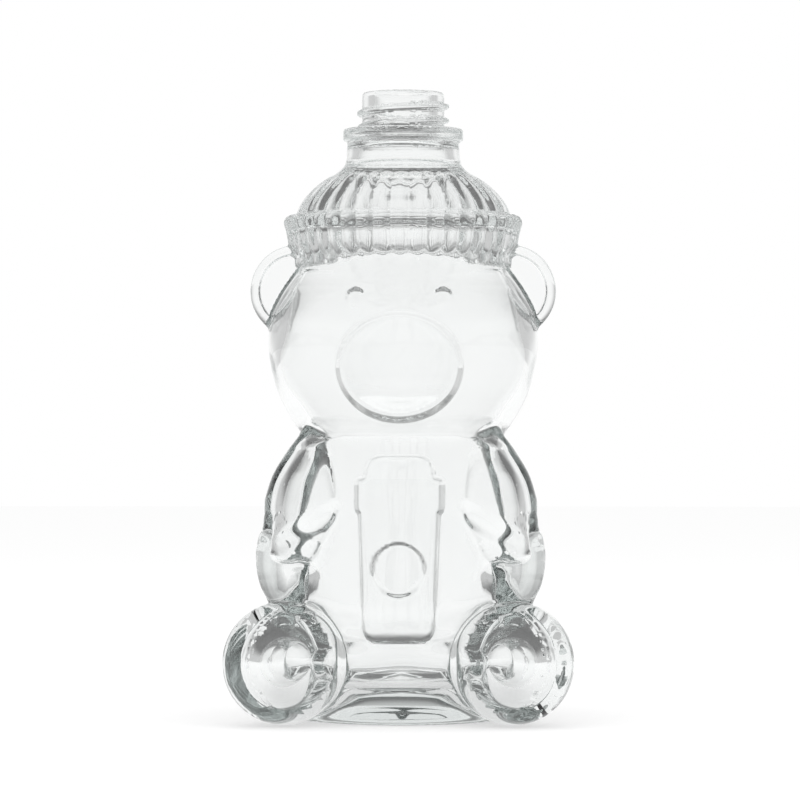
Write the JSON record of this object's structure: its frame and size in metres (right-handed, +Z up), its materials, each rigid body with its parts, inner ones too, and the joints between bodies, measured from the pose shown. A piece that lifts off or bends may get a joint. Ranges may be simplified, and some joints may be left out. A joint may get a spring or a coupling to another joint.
{
  "type": "figural glass bottle",
  "caption": "Clear glass liquor bottle shaped as a seated bear in a ribbed knit hat, holding a lidded cup, with a short collared neck and screw finish.",
  "frame": {"origin": "middle of the footprint on the floor plane, 9 mm in front of the neck's axis", "axes": "+Z up through the neck, -Y the way the bear faces, +X the viewer's right when facing the bear"},
  "size_m": [0.0956, 0.096, 0.176],
  "materials": {
    "glass": "clear, smooth, glossy"
  },
  "bodies": {
    "root": {"glass_bottle": "glass"}
  },
  "joints": []
}
